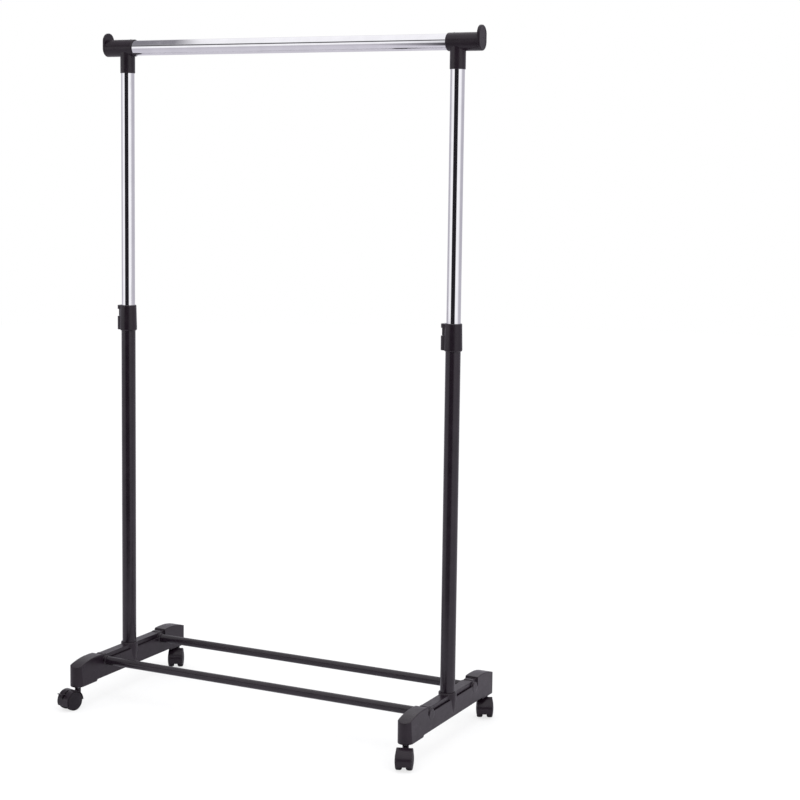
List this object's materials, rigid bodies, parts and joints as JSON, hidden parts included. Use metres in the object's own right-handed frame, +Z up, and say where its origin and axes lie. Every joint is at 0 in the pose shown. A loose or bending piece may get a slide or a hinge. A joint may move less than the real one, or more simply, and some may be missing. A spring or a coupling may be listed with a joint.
{
  "type": "rolling clothes rack",
  "caption": "Free-standing rolling clothes rack with telescopic posts, cam clamps, a chromed hanging rail, cross bars and twin-wheel swivel casters.",
  "frame": {"origin": "on the floor under the middle of the rack's outline", "axes": "+Z up, +X along the hanging rail towards the right-hand foot seen from the front, +Y to the back"},
  "size_m": [0.887, 0.4454, 1.4321],
  "materials": {
    "black_plastic": "moulded, fine satin grain",
    "black_tube": "semi-gloss black powder coat",
    "chrome_tube": "bright chrome plate",
    "wheel_nylon": "satin moulded nylon",
    "zinc_steel": "zinc-plated steel"
  },
  "bodies": {
    "frame": {"base_left": "black_plastic", "base_right": "black_plastic", "lower_post_left": "black_tube", "lower_post_right": "black_tube", "post_plug_left": "black_plastic", "post_plug_right": "black_plastic", "post_bolts": "zinc_steel", "post_washers": "zinc_steel", "cross_bar_front": "black_tube", "cross_bar_back": "black_tube", "clamp_collar_left": "black_plastic", "clamp_collar_right": "black_plastic", "lever_pin_left": "zinc_steel", "lever_pin_right": "zinc_steel", "stem_grip_rings": "zinc_steel", "caster_stem_front_left": "zinc_steel", "caster_stem_front_right": "zinc_steel", "caster_stem_back_left": "zinc_steel", "caster_stem_back_right": "zinc_steel"},
    "mast": {"upper_post_left": "chrome_tube", "upper_post_right": "chrome_tube", "glide_plug_left": "black_plastic", "glide_plug_right": "black_plastic", "tee_left": "black_plastic", "tee_right": "black_plastic", "end_cap_left": "black_plastic", "end_cap_right": "black_plastic", "top_rail": "chrome_tube"},
    "lever_left": {"clamp_lever_left": "black_plastic"},
    "lever_right": {"clamp_lever_right": "black_plastic"},
    "caster_front_left": {"caster_hood_front_left": "black_plastic", "axle_front_left": "zinc_steel", "brake_pin": "zinc_steel"},
    "wheel_front_left_a": {"wheel_front_left_a": "wheel_nylon"},
    "wheel_front_left_b": {"wheel_front_left_b": "wheel_nylon"},
    "caster_front_right": {"caster_hood_front_right": "black_plastic", "axle_front_right": "zinc_steel"},
    "wheel_front_right_a": {"wheel_front_right_a": "wheel_nylon"},
    "wheel_front_right_b": {"wheel_front_right_b": "wheel_nylon"},
    "caster_back_left": {"caster_hood_back_left": "black_plastic", "axle_back_left": "zinc_steel"},
    "wheel_back_left_a": {"wheel_back_left_a": "wheel_nylon"},
    "wheel_back_left_b": {"wheel_back_left_b": "wheel_nylon"},
    "caster_back_right": {"caster_hood_back_right": "black_plastic", "axle_back_right": "zinc_steel"},
    "wheel_back_right_a": {"wheel_back_right_a": "wheel_nylon"},
    "wheel_back_right_b": {"wheel_back_right_b": "wheel_nylon"},
    "brake": {"brake_lever": "black_plastic"}
  },
  "joints": [
    {"name": "height_slide", "type": "slide", "parent": "frame", "child": "mast", "axis": [0, 0, 1], "range_m": [-0.495, 0.165]},
    {"name": "clamp_lever_left_turn", "type": "hinge", "parent": "frame", "child": "lever_left", "pos_m": [-0.409, 0.0195, 0.8305], "axis": [0, 0, 1], "range_deg": [0, 100]},
    {"name": "clamp_lever_right_turn", "type": "hinge", "parent": "frame", "child": "lever_right", "pos_m": [0.371, 0.0195, 0.8305], "axis": [0, 0, 1], "range_deg": [0, 100]},
    {"name": "swivel_front_left", "type": "hinge", "parent": "frame", "child": "caster_front_left", "pos_m": [-0.39, -0.171, 0.037], "axis": [0, 0, 1], "continuous": true},
    {"name": "roll_front_left_a", "type": "hinge", "parent": "caster_front_left", "child": "wheel_front_left_a", "pos_m": [-0.39437, -0.19154, 0.02], "axis": [0.9781, -0.2079, 0], "continuous": true},
    {"name": "roll_front_left_b", "type": "hinge", "parent": "caster_front_left", "child": "wheel_front_left_b", "pos_m": [-0.39437, -0.19154, 0.02], "axis": [0.9781, -0.2079, 0], "continuous": true},
    {"name": "swivel_front_right", "type": "hinge", "parent": "frame", "child": "caster_front_right", "pos_m": [0.39, -0.171, 0.037], "axis": [0, 0, 1], "continuous": true},
    {"name": "roll_front_right_a", "type": "hinge", "parent": "caster_front_right", "child": "wheel_front_right_a", "pos_m": [0.39718, -0.19073, 0.02], "axis": [0.9397, 0.342, 0], "continuous": true},
    {"name": "roll_front_right_b", "type": "hinge", "parent": "caster_front_right", "child": "wheel_front_right_b", "pos_m": [0.39718, -0.19073, 0.02], "axis": [0.9397, 0.342, 0], "continuous": true},
    {"name": "swivel_back_left", "type": "hinge", "parent": "frame", "child": "caster_back_left", "pos_m": [-0.39, 0.207, 0.037], "axis": [0, 0, 1], "continuous": true},
    {"name": "roll_back_left_a", "type": "hinge", "parent": "caster_back_left", "child": "wheel_back_left_a", "pos_m": [-0.38014, 0.18846, 0.02], "axis": [0.8829, 0.4695, 0], "continuous": true},
    {"name": "roll_back_left_b", "type": "hinge", "parent": "caster_back_left", "child": "wheel_back_left_b", "pos_m": [-0.38014, 0.18846, 0.02], "axis": [0.8829, 0.4695, 0], "continuous": true},
    {"name": "swivel_back_right", "type": "hinge", "parent": "frame", "child": "caster_back_right", "pos_m": [0.39, 0.207, 0.037], "axis": [0, 0, 1], "continuous": true},
    {"name": "roll_back_right_a", "type": "hinge", "parent": "caster_back_right", "child": "wheel_back_right_a", "pos_m": [0.39887, 0.18797, 0.02], "axis": [0.9063, 0.4226, 0], "continuous": true},
    {"name": "roll_back_right_b", "type": "hinge", "parent": "caster_back_right", "child": "wheel_back_right_b", "pos_m": [0.39887, 0.18797, 0.02], "axis": [0.9063, 0.4226, 0], "continuous": true},
    {"name": "brake_lever_press", "type": "hinge", "parent": "caster_front_left", "child": "brake", "pos_m": [-0.39603, -0.19937, 0.0335], "axis": [0.9781, -0.2079, 0], "range_deg": [0, 14]}
  ]
}
